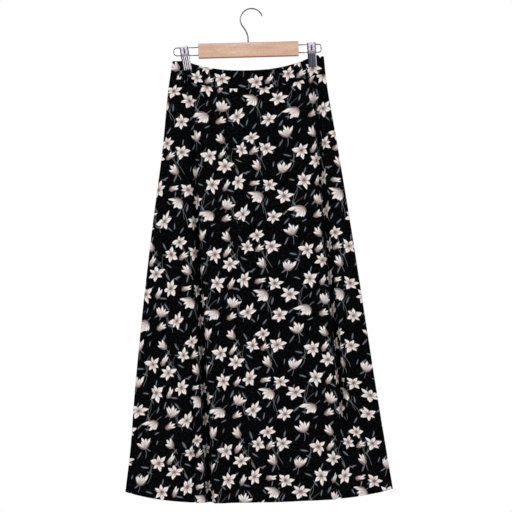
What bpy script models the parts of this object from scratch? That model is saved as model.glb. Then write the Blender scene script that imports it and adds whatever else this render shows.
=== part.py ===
"""Maxi skirt hung from a clip hanger.

The skirt is an A-line of four cut pieces: a front panel, a back panel and a two-piece waistband.
It hangs from a wooden bar whose two steel wire arms each carry a sprung clip.
Metres, +Z up, the front of the skirt faces -Y. The origin is the hook's seat: the inner top of
the hook, where a rail carries it.
"""

import math

import bmesh
import bpy
import numpy as np
from mathutils import Matrix, Vector

OBJECT_NAME = "maxi_skirt_on_clip_hanger"
MM = 0.001

# ---------------------------------------------------------------- driving dimensions
GAP = 0.3 * MM  # between pieces that touch
CLOTH = 1.2 * MM  # wall of one layer of cloth

# Hook, a bent wire screwed into the top of the bar
HOOK_RADIUS = 26 * MM  # centreline of the round part
HOOK_WIRE = 3.1 * MM
HOOK_SHANK = 3.8 * MM  # the thicker straight part above the bar
HOOK_TIP_ANGLE = math.radians(20)
HOOK_LEAVES_ANGLE = math.radians(195)  # where the round part runs out into the slanted part
HOOK_BEND_DROP = 56 * MM  # the bend above the shank, below the seat

# Waist of the skirt: the middle of the line through its two top corners
WAIST_X = -9 * MM
WAIST_Z = -117.3 * MM

# Wooden bar
BAR_LENGTH = 233 * MM
BAR_HEIGHT = 33.7 * MM
BAR_THICK = 13 * MM
BAR_ABOVE_WAIST = 5.8 * MM
BAR_EDGE = 0.7 * MM
HOOK_HOLE_DEPTH = 15 * MM
ARM_HOLE_DEPTH = 12 * MM
WIRE_SINK = 10 * MM  # how far the wires reach into the bar

# Wire arms, a flat U at each end of the bar
ARM_WIRE = 2.5 * MM
ARM_PITCH = 18.2 * MM
ARM_REACH = {-1: 58.5 * MM, 1: 53.5 * MM}  # from the end of the bar to the outside of the U
ARM_LOW_ABOVE_WAIST = 13.3 * MM

# Clips
CLIP_WIDTH = 19 * MM
CLIP_PLATE = 0.9 * MM
CLIP_TOP = 36 * MM  # above the waist line
CLIP_SHOULDER = 10.5 * MM  # the ribs start below this
CLIP_FOOT = -21 * MM
CLIP_RIBS = 4
CLIP_RIB_DEPTH = 0.9 * MM
FLANGE_END = 1.9 * MM  # the side flanges stop this far from the middle, and leave the wires free
PIN_RADIUS = 1.1 * MM
SPRING_RADIUS = 2.7 * MM
SPRING_WIRE = 1.0 * MM
SPRING_TURNS = 4
CLIPS = (  # name, middle from the waist's middle, lean in degrees
    ("left", -145.6 * MM, 7.9),
    ("right", 147.5 * MM, 2.0),
)

# Skirt
SKIRT_LENGTH = 1005 * MM  # from the waist's edge to the hem, along the cloth
BAND_HEIGHT = 43 * MM
WAIST_SAG = 25 * MM
WAIST_POWER = 2.4
WAIST_RISE = {-1: 1.2 * MM, 1: 4 * MM}  # the top edge at the left and the right clip
CLIP_AT = 148 * MM
HEM_DROP = 1023 * MM  # the hem's lowest point below the waist line
HEM_LIFT = {-1: 26 * MM, 1: 17 * MM}  # how much higher the hem ends at the side seams
HEM_POWER = {-1: 3.8, 1: 3.8}
TROUGH_HANGS = 0.10  # a trough reaches lower, by this share of its depth
EDGE_Y = CLOTH / 2 + GAP / 2  # each panel's middle surface at the side seam
DOME_POWER = 3.0

SECTIONS = (  # drop below the waist's edge, half widths, fullness of the front and of the back, in mm
    # drop, left, right, front, back
    (0, 177, 175, 3.0, 3.0),
    (43, 185, 178, 6.0, 6.0),
    (200, 205, 200, 15.0, 12.0),
    (400, 236, 228, 23.0, 17.0),
    (600, 264, 254, 29.0, 21.0),
    (800, 288, 280, 33.0, 24.0),
    (900, 298, 294, 34.5, 25.5),
    (1005, 313, 309, 36.0, 27.0),
)

STAYS = 2000  # a fold with this drop doesn't fade before the hem
FADE = 130  # a fold fades over this much drop before it has gone
FOLDS = (  # millimetres; a positive depth runs towards +Y, full and gone are the drops where a fold
    # has its full depth and has faded, and a positive skew puts its deepest line further right
    # panel, middle at top, at hem, drift, half width top, hem, depth, power, full, gone, skew
    ("front", -148, -119, 1.6, 14, 20, 48, 0.60, 640, STAYS, 0.0),
    ("front", 145, 203, 1.15, 15, 20, 32, 0.45, 700, 900, 0.5),
    ("back", -147, -132, 1.2, 34, 46, 38, 0.50, 760, STAYS, 0.0),
    ("back", -52, -56, 1.0, 30, 34, -22, 0.90, 900, STAYS, 0.0),
    ("back", 60, 88, 1.0, 30, 40, -26, 0.80, 950, STAYS, 0.0),
    ("back", 147, 208, 1.6, 34, 46, 38, 0.40, 760, STAYS, 0.0),
    ("back", -195, -233, 1.0, 22, 28, -9, 2.50, 1000, STAYS, 0.0),
)
FOLD_STARTS = 28  # mm of drop, just below the feet of the clips
PINCH_HALF = 13 * MM  # the layers lie flat this far to each side of a clip's middle
PINCH_FADE = 30 * MM

COLUMNS = 44  # quads across a panel
PANEL_ROWS = 18
SAMPLES = 500  # points across a section when its length is measured


# ---------------------------------------------------------------- helpers
def clear_scene():
    for ob in list(bpy.data.objects):
        bpy.data.objects.remove(ob, do_unlink=True)


def new_collection(name):
    collection = bpy.data.collections.new(name)
    bpy.context.scene.collection.children.link(collection)
    return collection


def material(name, colour, roughness, metallic=0.0):
    mat = bpy.data.materials.new(name)
    mat.use_nodes = True
    shader = mat.node_tree.nodes["Principled BSDF"]
    shader.inputs["Base Color"].default_value = (*colour, 1.0)
    shader.inputs["Roughness"].default_value = roughness
    shader.inputs["Metallic"].default_value = metallic
    mat.diffuse_color = (*colour, 1.0)
    return mat


def add_object(name, data, collection, mat=None, parent=None):
    ob = bpy.data.objects.new(name, data)
    collection.objects.link(ob)
    if mat is not None:
        data.materials.append(mat)
    ob.parent = parent
    return ob


def mesh_from(bm, name):
    mesh = bpy.data.meshes.new(name)
    bmesh.ops.recalc_face_normals(bm, faces=bm.faces[:])
    bm.to_mesh(mesh)
    bm.free()
    return mesh


def grid_surface(rows):
    """An open surface through rows of points, all rows with the same number of points."""
    bm = bmesh.new()
    verts = [[bm.verts.new(point) for point in row] for row in rows]
    for upper, lower in zip(verts, verts[1:]):
        for i in range(len(upper) - 1):
            bm.faces.new((upper[i], upper[i + 1], lower[i + 1], lower[i]))
    return bm


def solidify(ob, thickness):
    modifier = ob.modifiers.new("wall", "SOLIDIFY")
    modifier.thickness = thickness
    modifier.offset = 0.0
    modifier.use_even_offset = True


def wire(name, points, radius, collection, mat, parent=None, radii=None):
    """A wire of round section with closed ends through a list of points."""
    curve = bpy.data.curves.new(name, "CURVE")
    curve.dimensions = "3D"
    curve.bevel_depth = radius
    curve.bevel_resolution = 2
    curve.use_fill_caps = True
    spline = curve.splines.new("POLY")
    spline.points.add(len(points) - 1)
    for i, point in enumerate(points):
        spline.points[i].co = (*point, 1.0)
        spline.points[i].radius = radii[i] if radii else 1.0
    return add_object(name, curve, collection, mat, parent)


def arc(centre_x, centre_z, radius, start, end, steps):
    """Points of an arc in the XZ plane."""
    angles = np.linspace(start, end, steps + 1)
    return [(centre_x + radius * math.cos(a), 0.0, centre_z + radius * math.sin(a)) for a in angles]


# ---------------------------------------------------------------- the skirt's form
def section(column, drop):
    """A column of SECTIONS at a drop in metres, read from a smooth curve through its rows."""
    table = np.array(SECTIONS, float)
    at, values = table[:, 0], table[:, column]
    slopes = np.gradient(values, at)
    x = min(max(drop / MM, at[0]), at[-1])
    i = min(int(np.searchsorted(at, x, side="right")) - 1, len(at) - 2)
    step = at[i + 1] - at[i]
    t = (x - at[i]) / step
    start = (1 + 2 * t) * (1 - t) ** 2 * values[i] + t * (1 - t) ** 2 * step * slopes[i]
    end = t * t * (3 - 2 * t) * values[i + 1] + t * t * (t - 1) * step * slopes[i + 1]
    return (start + end) * MM


def troughs(panel, x, drop):
    """How far the folds of a panel push it towards +Y, at points across it."""
    push = np.zeros_like(x)
    share = min(drop / SKIRT_LENGTH, 1.0)
    for where, top, hem, drift, half_top, half_hem, depth, power, full, gone, skew in FOLDS:
        if where != panel:
            continue
        middle = (top + (hem - top) * share**drift) * MM
        half = (half_top + (half_hem - half_top) * share) * MM
        grown = min(max(drop / MM - FOLD_STARTS, 0.0) / (full - FOLD_STARTS), 1.0) ** power
        grown *= min(max(gone - drop / MM, 0.0) / FADE, 1.0)
        across = np.clip((x - middle) / half, -1.0, 1.0)
        across -= skew * (1.0 - across**2)
        push += depth * MM * grown * (0.5 + 0.5 * np.cos(math.pi * across))
    return push


def panel_y(panel, x, drop):
    """The middle surface of a panel at points across it."""
    left, right = section(1, drop), section(2, drop)
    share = np.abs(x) / np.where(x < 0, left, right)
    dome = 1.0 - np.clip(share, 0.0, 1.0) ** DOME_POWER
    if drop < BAND_HEIGHT:  # the clips press the two layers together
        from_clip = np.abs(np.abs(x) - CLIP_AT) - PINCH_HALF
        pinch = np.clip(from_clip / PINCH_FADE, 0.0, 1.0)
        pinch = pinch * pinch * (3.0 - 2.0 * pinch)
        free = np.clip((drop / MM - FOLD_STARTS) / (BAND_HEIGHT / MM - FOLD_STARTS), 0.0, 1.0)
        outside = np.abs(x) > CLIP_AT
        dome *= np.where(outside, free, pinch + (1.0 - pinch) * free)
    if panel == "front":
        return -EDGE_Y - section(3, drop) * dome + troughs(panel, x, drop)
    return EDGE_Y + section(4, drop) * dome + troughs(panel, x, drop)


def waist_z(x):
    """Height of the waist's edge over the waist line."""
    side = -1 if x < 0 else 1
    share = min(abs(x) / CLIP_AT, 1.0)
    return -WAIST_SAG + (WAIST_SAG + WAIST_RISE[side]) * share**WAIST_POWER


def hem_z(x):
    """Height of the hem over the waist line."""
    side = -1 if x < 0 else 1
    half = section(1 if x < 0 else 2, SKIRT_LENGTH)
    return -HEM_DROP + HEM_LIFT[side] * (abs(x) / half) ** HEM_POWER[side]


def row_points(panel, drop):
    """Points across a panel at one drop, evenly spaced along the cloth on each side of the middle."""
    half = COLUMNS // 2
    points = []
    for side in (-1, 1):
        edge = section(1 if side < 0 else 2, drop)
        x = np.linspace(0.0, side * edge, SAMPLES)
        y = panel_y(panel, x, drop)
        along = np.concatenate([[0.0], np.cumsum(np.hypot(np.diff(x), np.diff(y)))])
        shares = np.linspace(0.0, 1.0, half + 1)
        column_x = np.interp(shares * along[-1], along, x)
        column_y = panel_y(panel, column_x, drop)
        pushed = np.abs(troughs(panel, column_x, drop)) * TROUGH_HANGS
        down = drop / SKIRT_LENGTH
        for i, share in enumerate(shares):
            top_x = side * share * section(1 if side < 0 else 2, 0.0)
            hem_x = side * share * section(1 if side < 0 else 2, SKIRT_LENGTH)
            z = waist_z(top_x) * (1 - down) + hem_z(hem_x) * down - pushed[i] * down
            points.append((WAIST_X + column_x[i], column_y[i], WAIST_Z + z))
    left, right = points[: half + 1], points[half + 1 :]
    return left[::-1] + right[1:]


def make_panel(name, panel, drops, collection, mat):
    """One cut piece of cloth through rows at some drops, as a wall of even thickness."""
    mesh = mesh_from(grid_surface([row_points(panel, drop) for drop in drops]), name)
    ob = add_object(name, mesh, collection, mat)
    solidify(ob, CLOTH)
    return ob


# ---------------------------------------------------------------- the hanger
def make_hook(collection, mat):
    """The hook's wire: shank in the bar, slanted part, round part over the seat."""
    centre_z = HOOK_WIRE / 2 - HOOK_RADIUS
    bar_top = WAIST_Z + BAR_ABOVE_WAIST + BAR_HEIGHT
    round_part = arc(0.0, centre_z, HOOK_RADIUS, HOOK_LEAVES_ANGLE, HOOK_TIP_ANGLE, 22)
    foot = Vector((WAIST_X, 0.0, bar_top - HOOK_HOLE_DEPTH + 2 * MM))
    shank_top = Vector((WAIST_X, 0.0, -HOOK_BEND_DROP - 7 * MM))
    bend = Vector((WAIST_X, 0.0, -HOOK_BEND_DROP + 1 * MM))
    slant_end = Vector(round_part[0])
    slant_start = bend.lerp(slant_end, 0.35)
    steps = [0.2, 0.4, 0.6, 0.8]
    bent = [shank_top.lerp(bend, t).lerp(bend.lerp(slant_start, t), t) for t in steps]
    slanted = [slant_start, slant_start.lerp(slant_end, 0.5)]
    points = [foot, shank_top, *bent, *slanted, *[Vector(p) for p in round_part]]
    thick = HOOK_SHANK / HOOK_WIRE
    radii = [thick, thick, *[thick + (1.0 - thick) * t for t in steps]]
    radii += [1.0] * (len(points) - len(radii))
    return wire("hanger_hook", points, HOOK_WIRE / 2, collection, mat, radii=radii)


def make_arm(name, side, collection, mat):
    """A U of wire with both legs in the end of the bar."""
    low = WAIST_Z + ARM_LOW_ABOVE_WAIST
    high = low + ARM_PITCH
    inner = WAIST_X + side * (BAR_LENGTH / 2 - WIRE_SINK)
    bend_radius = ARM_PITCH / 2
    bend_x = WAIST_X + side * (BAR_LENGTH / 2 + ARM_REACH[side] - ARM_WIRE / 2 - bend_radius)
    turn = arc(0.0, 0.0, bend_radius, math.pi / 2, -math.pi / 2, 12)
    middle = (low + high) / 2
    bend = [(bend_x + side * x, 0.0, middle + z) for x, _, z in turn]
    points = [(inner, 0.0, high), *bend, (inner, 0.0, low)]
    return wire(name, points, ARM_WIRE / 2, collection, mat)


def drill(name, radius, depth, place, direction, collection):
    """A cutter for a blind hole that starts at a place and runs along a direction."""
    bm = bmesh.new()
    bmesh.ops.create_cone(
        bm, cap_ends=True, segments=16, radius1=radius, radius2=radius, depth=2 * depth
    )
    mesh = mesh_from(bm, name)
    cutter = add_object(name, mesh, collection)
    cutter.location = place
    cutter.rotation_euler = Vector(direction).to_track_quat("Z", "Y").to_euler()
    cutter.hide_render = True
    cutter.display_type = "WIRE"
    return cutter


def make_bar(collection, cutters, mat):
    """The wooden bar, with a blind hole for the hook and two for each wire arm."""
    bm = bmesh.new()
    bmesh.ops.create_cube(bm, size=1.0)
    bmesh.ops.scale(bm, vec=(BAR_LENGTH, BAR_THICK, BAR_HEIGHT), verts=bm.verts[:])
    bar = add_object("hanger_bar", mesh_from(bm, "hanger_bar"), collection, mat)
    bottom = WAIST_Z + BAR_ABOVE_WAIST
    bar.location = (WAIST_X, 0.0, bottom + BAR_HEIGHT / 2)
    edges = bar.modifiers.new("eased_edges", "BEVEL")
    edges.width = BAR_EDGE
    edges.segments = 2
    holes = [
        drill("hole_hook", HOOK_SHANK / 2 + GAP, HOOK_HOLE_DEPTH,
              (WAIST_X, 0.0, bottom + BAR_HEIGHT), (0, 0, 1), cutters)
    ]
    for side in (-1, 1):
        for level in (0, 1):
            z = WAIST_Z + ARM_LOW_ABOVE_WAIST + level * ARM_PITCH
            place = (WAIST_X + side * BAR_LENGTH / 2, 0.0, z)
            name = f"hole_arm_{side}_{level}"
            holes.append(
                drill(name, ARM_WIRE / 2 + GAP, ARM_HOLE_DEPTH, place, (1, 0, 0), cutters)
            )
    for cutter in holes:
        cut = bar.modifiers.new(cutter.name, "BOOLEAN")
        cut.operation = "DIFFERENCE"
        cut.solver = "EXACT"
        cut.object = cutter
    return bar


# ---------------------------------------------------------------- the clips
def jaw_rows():
    """One jaw's plate from top to foot, facing -Y: height, distance from the middle, rib share."""
    closed = EDGE_Y + CLOTH / 2 + GAP + CLIP_PLATE / 2
    return (
        (CLIP_TOP, 7.2 * MM, 0.0),
        (CLIP_TOP - 6 * MM, 5.8 * MM, 0.0),
        (CLIP_SHOULDER + 8 * MM, 5.2 * MM, 0.0),
        (CLIP_SHOULDER + 2 * MM, 5.0 * MM, 0.0),
        (CLIP_SHOULDER - 1 * MM, 4.4 * MM, 1.0),
        ((CLIP_SHOULDER + CLIP_FOOT) / 2, closed + 1.2 * MM, 1.0),
        (CLIP_FOOT + 4 * MM, closed, 1.0),
        (CLIP_FOOT, closed, 0.6),
    )


def make_jaw(name, facing, collection, mat, parent):
    """A pressed jaw: a plate with side flanges above and upright ribs below."""
    columns = 2 * CLIP_RIBS + 1
    rows = []
    for z, away, ribbed in jaw_rows():
        flat_half = CLIP_WIDTH / 2 - (0.9 * MM if ribbed else 0.0)
        across = np.linspace(-flat_half, flat_half, columns)
        rib = [ribbed * CLIP_RIB_DEPTH * (i % 2) for i in range(columns)]
        row = [(x, facing * (away + r), z) for x, r in zip(across, rib)]
        flange = away if ribbed else FLANGE_END
        row.insert(0, (-CLIP_WIDTH / 2, facing * flange, z))
        row.append((CLIP_WIDTH / 2, facing * flange, z))
        rows.append(row)
    ob = add_object(name, mesh_from(grid_surface(rows), name), collection, mat, parent)
    solidify(ob, CLIP_PLATE)
    return ob


def make_pin(name, collection, mat, parent):
    bm = bmesh.new()
    length = CLIP_WIDTH - CLIP_PLATE - 2 * GAP
    bmesh.ops.create_cone(
        bm, cap_ends=True, segments=12, radius1=PIN_RADIUS, radius2=PIN_RADIUS, depth=length
    )
    bmesh.ops.rotate(bm, matrix=Matrix.Rotation(math.pi / 2, 3, "Y"), verts=bm.verts[:])
    ob = add_object(name, mesh_from(bm, name), collection, mat, parent)
    ob.location.z = ARM_LOW_ABOVE_WAIST + ARM_PITCH / 2
    return ob


def make_spring(name, collection, mat, parent):
    """The coil that presses the jaws together, round the pin."""
    per_turn = 10
    steps = SPRING_TURNS * per_turn
    pitch = SPRING_WIRE * 1.6
    points = []
    for i in range(steps + 1):
        angle = 2 * math.pi * i / per_turn
        x = (i / per_turn - SPRING_TURNS / 2) * pitch
        points.append((x, SPRING_RADIUS * math.cos(angle), SPRING_RADIUS * math.sin(angle)))
    ob = wire(name, points, SPRING_WIRE / 2, collection, mat, parent)
    ob.location.z = ARM_LOW_ABOVE_WAIST + ARM_PITCH / 2
    return ob


def make_clip(side, middle, lean, collection, steel):
    """Two jaws, a pin and a spring on an empty that stands at the clip's foot."""
    carrier = bpy.data.objects.new(f"clip_{side}", None)
    collection.objects.link(carrier)
    carrier.location = (WAIST_X + middle, 0.0, WAIST_Z)
    carrier.rotation_euler.y = math.radians(-lean)
    make_jaw(f"clip_{side}_jaw_front", -1, collection, steel, carrier)
    make_jaw(f"clip_{side}_jaw_back", 1, collection, steel, carrier)
    make_pin(f"clip_{side}_pin", collection, steel, carrier)
    make_spring(f"clip_{side}_spring", collection, steel, carrier)


def shade(collection):
    for ob in collection.objects:
        if ob.type == "MESH":
            ob.data.shade_smooth()
            ob.data.set_sharp_from_angle(angle=math.radians(35))


def main():
    clear_scene()
    parts = new_collection(OBJECT_NAME)
    cutters = new_collection("cutters")
    cloth = material("floral_cloth", (0.012, 0.014, 0.017), 0.75)
    wood = material("pale_wood", (0.61, 0.38, 0.26), 0.55)
    wire_steel = material("bright_wire", (0.42, 0.42, 0.43), 0.3, 1.0)
    plate_steel = material("plated_steel", (0.50, 0.48, 0.52), 0.28, 1.0)

    band_drops = (0.0, FOLD_STARTS * MM, BAND_HEIGHT - GAP)
    panel_drops = np.linspace(BAND_HEIGHT, SKIRT_LENGTH, PANEL_ROWS + 1)
    for panel in ("front", "back"):
        make_panel(f"waistband_{panel}", panel, band_drops, parts, cloth)
        make_panel(f"skirt_{panel}", panel, panel_drops, parts, cloth)
    make_bar(parts, cutters, wood)
    make_hook(parts, wire_steel)
    make_arm("arm_left", -1, parts, wire_steel)
    make_arm("arm_right", 1, parts, wire_steel)
    for side, middle, lean in CLIPS:
        make_clip(side, middle, lean, parts, plate_steel)
    shade(parts)


main()
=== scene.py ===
# %% [markdown]
# # A maxi skirt on its clip hanger
#
# A long A-line skirt in a dark floral print hangs by its waistband from a wooden bar with two
# sprung clips. The hard parts of the hanger and the rough form of the cloth come from a CAD
# model, which fixes every size. This notebook dresses that model: it hangs fine cloth on the
# same form, draws the print, and finishes the wood, the wire and the plated clips.
#
# Everything is in metres, +Z is up and the front of the skirt faces -Y. The origin is the seat
# of the hook, where a rail would carry it.

# %% The fixed frame
import math

import bmesh
import bpy
import numpy as np
from mathutils import Matrix, Vector


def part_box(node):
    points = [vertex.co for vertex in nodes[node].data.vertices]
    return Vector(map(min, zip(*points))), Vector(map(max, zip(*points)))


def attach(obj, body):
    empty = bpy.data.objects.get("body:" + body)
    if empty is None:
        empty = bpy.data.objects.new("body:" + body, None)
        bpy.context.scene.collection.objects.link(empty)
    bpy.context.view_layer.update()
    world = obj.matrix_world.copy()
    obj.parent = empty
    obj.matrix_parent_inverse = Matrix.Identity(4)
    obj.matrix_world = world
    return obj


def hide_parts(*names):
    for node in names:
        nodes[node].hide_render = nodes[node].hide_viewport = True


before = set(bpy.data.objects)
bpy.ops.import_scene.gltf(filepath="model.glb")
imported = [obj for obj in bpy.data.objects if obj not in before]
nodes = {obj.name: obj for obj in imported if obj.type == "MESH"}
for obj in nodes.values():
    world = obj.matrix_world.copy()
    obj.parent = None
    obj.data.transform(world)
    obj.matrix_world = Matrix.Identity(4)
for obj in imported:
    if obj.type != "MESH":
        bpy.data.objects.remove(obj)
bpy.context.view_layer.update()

MM = 0.001
print("CAD nodes:", sorted(nodes))

# %% [markdown]
# ## Camera, light and floor
#
# A garment is best seen from a few metres away with a long lens, so that the hem and the waist
# are nearly square on. The camera stands level with the middle of the skirt and leans over by a
# degree and a half, as a hand-held camera does.

# %% Camera
CAMERA_AWAY = 3.0
CAMERA_AIM = Vector((-0.004, 0.0, -0.574))
CAMERA_LENS = 90.7
CAMERA_ROLL = math.radians(-1.5)

camera_data = bpy.data.cameras.new("camera")
camera_data.lens = CAMERA_LENS
camera_data.clip_end = 50.0
camera = bpy.data.objects.new("camera", camera_data)
camera.location = CAMERA_AIM + Vector((0.0, -CAMERA_AWAY, 0.0))
camera.rotation_euler = (
    Matrix.Rotation(math.pi / 2, 3, "X") @ Matrix.Rotation(CAMERA_ROLL, 3, "Z")
).to_euler()
bpy.context.scene.collection.objects.link(camera)
bpy.context.scene.camera = camera
print("camera", [round(v, 3) for v in camera.location], "lens", camera_data.lens)

# %% [markdown]
# The background is plain white. The camera sees a white world, while the cloth and the metal
# are lit by a dimmer one and by large soft lamps, so that folds keep their shade and plated
# steel has something darker to reflect.

# %% World and lamps
scene = bpy.context.scene
scene.view_settings.view_transform = "Standard"

world = bpy.data.worlds.new("studio")
scene.world = world
world.use_nodes = True
studio = world.node_tree
seen = studio.nodes.new("ShaderNodeBackground")
seen.inputs["Color"].default_value = (1.0, 1.0, 1.0, 1.0)
lighting = studio.nodes["Background"]
lighting.inputs["Color"].default_value = (0.95, 0.97, 1.0, 1.0)
lighting.inputs["Strength"].default_value = 0.42
which = studio.nodes.new("ShaderNodeLightPath")
choice = studio.nodes.new("ShaderNodeMixShader")
studio.links.new(which.outputs["Is Camera Ray"], choice.inputs[0])
studio.links.new(lighting.outputs[0], choice.inputs[1])
studio.links.new(seen.outputs[0], choice.inputs[2])
studio.links.new(choice.outputs[0], studio.nodes["World Output"].inputs["Surface"])

LAMPS = (
    # name, place, looks at, size, watts
    ("key", (-1.7, -2.6, 0.9), (0.0, 0.0, -0.50), 1.6, 46.0),
    ("fill", (2.1, -2.4, 0.1), (0.0, 0.0, -0.60), 1.8, 24.0),
    ("back", (0.6, 2.6, 0.6), (0.0, 0.0, -0.50), 1.8, 34.0),
)


def add_lamp(name, place, target, size, watts):
    """A square softbox that faces a point."""
    data = bpy.data.lights.new(name, "AREA")
    data.size = size
    data.energy = watts
    lamp = bpy.data.objects.new(name, data)
    lamp.location = place
    aim = Vector(target) - Vector(place)
    lamp.rotation_euler = aim.to_track_quat("-Z", "Y").to_euler()
    bpy.context.scene.collection.objects.link(lamp)
    return lamp


for row in LAMPS:
    add_lamp(*row)
print("lamps:", [row[0] for row in LAMPS])

# %% [markdown]
# ## Writing materials as sums
#
# Every finish here is procedural: it is worked out from coordinates by nodes. Adding nodes one
# by one in code is long and hard to read, so one small class stands for what a socket gives.
# Adding or multiplying two such values adds the Math node that does it. Any other node comes
# from one method that takes its type, its settings and what goes into it.

# %% Values and shaders


class Value:
    """What a socket gives. Sums with it add Math nodes to the same tree."""

    def __init__(self, shader, socket):
        self.shader = shader
        self.socket = socket

    def output(self, name):
        """Another output of the same node."""
        return Value(self.shader, self.socket.node.outputs[name])

    def maths(self, operation, *others):
        return self.shader.node("ShaderNodeMath", {"operation": operation}, [self, *others])

    def vector(self, operation, *others, output=0):
        settings = {"operation": operation}
        return self.shader.node("ShaderNodeVectorMath", settings, [self, *others], output)

    def step(self, start, end):
        """0 up to start, 1 from end on, and a soft change between them."""
        settings = {"interpolation_type": "SMOOTHSTEP"}
        return self.shader.node("ShaderNodeMapRange", settings, [self, start, end])

    def fade(self, start, end):
        """1 up to start, 0 from end on."""
        return 1 - self.step(start, end)

    def __add__(self, other):
        return self.maths("ADD", other)

    def __sub__(self, other):
        return self.maths("SUBTRACT", other)

    def __mul__(self, other):
        return self.maths("MULTIPLY", other)

    def __truediv__(self, other):
        return self.maths("DIVIDE", other)

    def __pow__(self, other):
        return self.maths("POWER", other)

    def __rsub__(self, other):
        return self.shader.node("ShaderNodeMath", {"operation": "SUBTRACT"}, [other, self])

    def __abs__(self):
        return self.maths("ABSOLUTE")

    __radd__ = __add__
    __rmul__ = __mul__


class Shader:
    """A material, with one method that adds any node to it."""

    def __init__(self, name):
        self.material = bpy.data.materials.new(name)
        self.material.use_nodes = True
        self.tree = self.material.node_tree
        self.surface = self.tree.nodes["Principled BSDF"]

    def node(self, kind, settings=(), inputs=(), output=0):
        made = self.tree.nodes.new(kind)
        for name, setting in dict(settings).items():
            if name == "stops":
                self.set_stops(made.color_ramp, setting)
            elif name == "steps":
                made.color_ramp.interpolation = setting
            else:
                setattr(made, name, setting)
        pairs = inputs.items() if isinstance(inputs, dict) else enumerate(inputs)
        for where, given in pairs:
            if isinstance(given, Value):
                self.tree.links.new(given.socket, made.inputs[where])
            else:
                made.inputs[where].default_value = given
        return Value(self, made.outputs[output])

    def set_stops(self, ramp, stops):
        for at, _ in stops[len(ramp.elements) :]:
            ramp.elements.new(at)
        for element, (at, colour) in zip(ramp.elements, stops):
            element.position = at
            element.color = colour

    def mix(self, share, first, second):
        """A colour between two others."""
        settings = {"data_type": "RGBA"}
        return self.node("ShaderNodeMix", settings, {0: share, 6: first, 7: second}, 2)

    def choose(self, test, first, second):
        """The second vector where the test is 1, and the first where it is 0."""
        settings = {"data_type": "VECTOR"}
        return self.node("ShaderNodeMix", settings, {0: test, 4: first, 5: second}, 1)

    def noise(self, place, scale, detail=2.0, roughness=0.5, output=0):
        inputs = {"Vector": place, "Scale": scale, "Detail": detail, "Roughness": roughness}
        return self.node("ShaderNodeTexNoise", {}, inputs, output)

    def bump(self, height, strength, distance):
        inputs = {"Height": height, "Strength": strength, "Distance": distance}
        return self.node("ShaderNodeBump", {}, inputs)

    def finish(self, **sockets):
        """Sets or links the Principled shader's sockets, named with _ for a space."""
        for name, given in sockets.items():
            socket = self.surface.inputs[name.replace("_", " ")]
            if isinstance(given, Value):
                self.tree.links.new(given.socket, socket)
            else:
                socket.default_value = given
        return self.material


def paint(red, green, blue):
    """A colour as a painter's chart gives it, 0 to 255, made linear for the shader."""

    def linear(v):
        v /= 255.0
        return v / 12.92 if v <= 0.04045 else ((v + 0.055) / 1.055) ** 2.4

    return (linear(red), linear(green), linear(blue), 1.0)


print("a cream in linear light:", [round(v, 3) for v in paint(236, 224, 214)])

# %% [markdown]
# ## The print
#
# The cloth is screen-printed with a small repeat: white lilies, half-open tulips, hanging bells
# and buds on thin stems, with short grey leaves scattered between them on a near-black
# ground. A textile designer sets such flowers out in a repeat that tiles without a visible
# edge. The same is done here. Each kind of motif has its own lattice of cells, and a chart says
# how far the motif in each cell is moved off its middle, how it is turned and what it is.
#
# Lengths of the print are in millimetres of cloth, with y up the skirt.

# %% Charts of the repeat
REPEAT = (213.0, 228.0)

FLOWER_KINDS = (
    # sector degrees, petals each side, length, half width, cup radius, base shift, uneven, open, lopsided
    ("none", 60, 0, 1.0, 0.5, 0.1, 0.0, 0.0, 0.0, 0.0),
    ("lily", 60, 3, 23.6, 5.8, 3.4, 0.0, 0.12, 1.0, 0.0),
    ("small_lily", 60, 3, 20.8, 5.2, 3.0, 0.0, 0.10, 1.0, 0.0),
    ("tulip", 20, 2, 29.0, 5.1, 8.4, 0.46, 0.14, 0.0, 0.03),
    ("half_tulip", 18, 1, 30.0, 5.5, 7.4, 0.46, 0.16, 0.0, 0.10),
    ("bell", 22, 2, 32.0, 5.9, 11.0, 0.42, 0.22, 0.0, 0.09),
    ("bud", 15, 1, 26.5, 4.1, 5.8, 0.46, 0.12, 0.0, 0.07),
)
KIND = {row[0]: number for number, row in enumerate(FLOWER_KINDS)}

BIG_FLOWERS = (
    # moved right, moved up, turned degrees, kind
    (-6, 4, 12, "lily"), (5, -7, 40, "lily"), (8, 5, 78, "small_lily"),
    (3, -4, 25, "lily"), (-7, 5, 228, "bell"), (2, 7, 51, "lily"),
    (-4, -6, 5, "small_lily"), (7, 2, 33, "lily"), (-3, 6, 66, "lily"),
)
OTHER_FLOWERS = (
    (4, 5, 124, "half_tulip"), (-6, -2, 84, "tulip"), (3, 6, 20, "lily"),
    (-3, -7, 48, "small_lily"), (6, 3, 103, "tulip"), (-5, -4, 131, "half_tulip"),
    (2, 4, 222, "bell"), (-6, 6, 10, "lily"), (5, -5, 72, "tulip"),
)
BUDS = (
    (2, 1, 35, "bud"), (0, 0, 0, "none"), (-3, -2, 58, "bud"),
    (0, 0, 0, "none"), (0, 0, 0, "none"), (0, -1, 24, "bud"),
    (-1, 2, 18, "bud"), (0, 0, 0, "none"), (3, 0, 66, "bud"),
)
print(len(BIG_FLOWERS) + len(OTHER_FLOWERS) + 5, "flowers in a repeat of", REPEAT, "mm")

# %% Reading a chart in a shader
REACH = 15.0  # the furthest that a motif is moved off the middle of its cell, in millimetres
BUD_ROOM = 14.5  # a bud is drawn over other flowers this near its middle


def chart(shader, number, rows):
    """The row of a table at a whole number. Each row is four shares from 0 to 1."""
    stops = [(i / len(rows), row) for i, row in enumerate(rows)]
    settings = {"stops": stops, "steps": "CONSTANT"}
    return shader.node("ShaderNodeValToRGB", settings, [(number + 0.5) / len(rows)])


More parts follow.
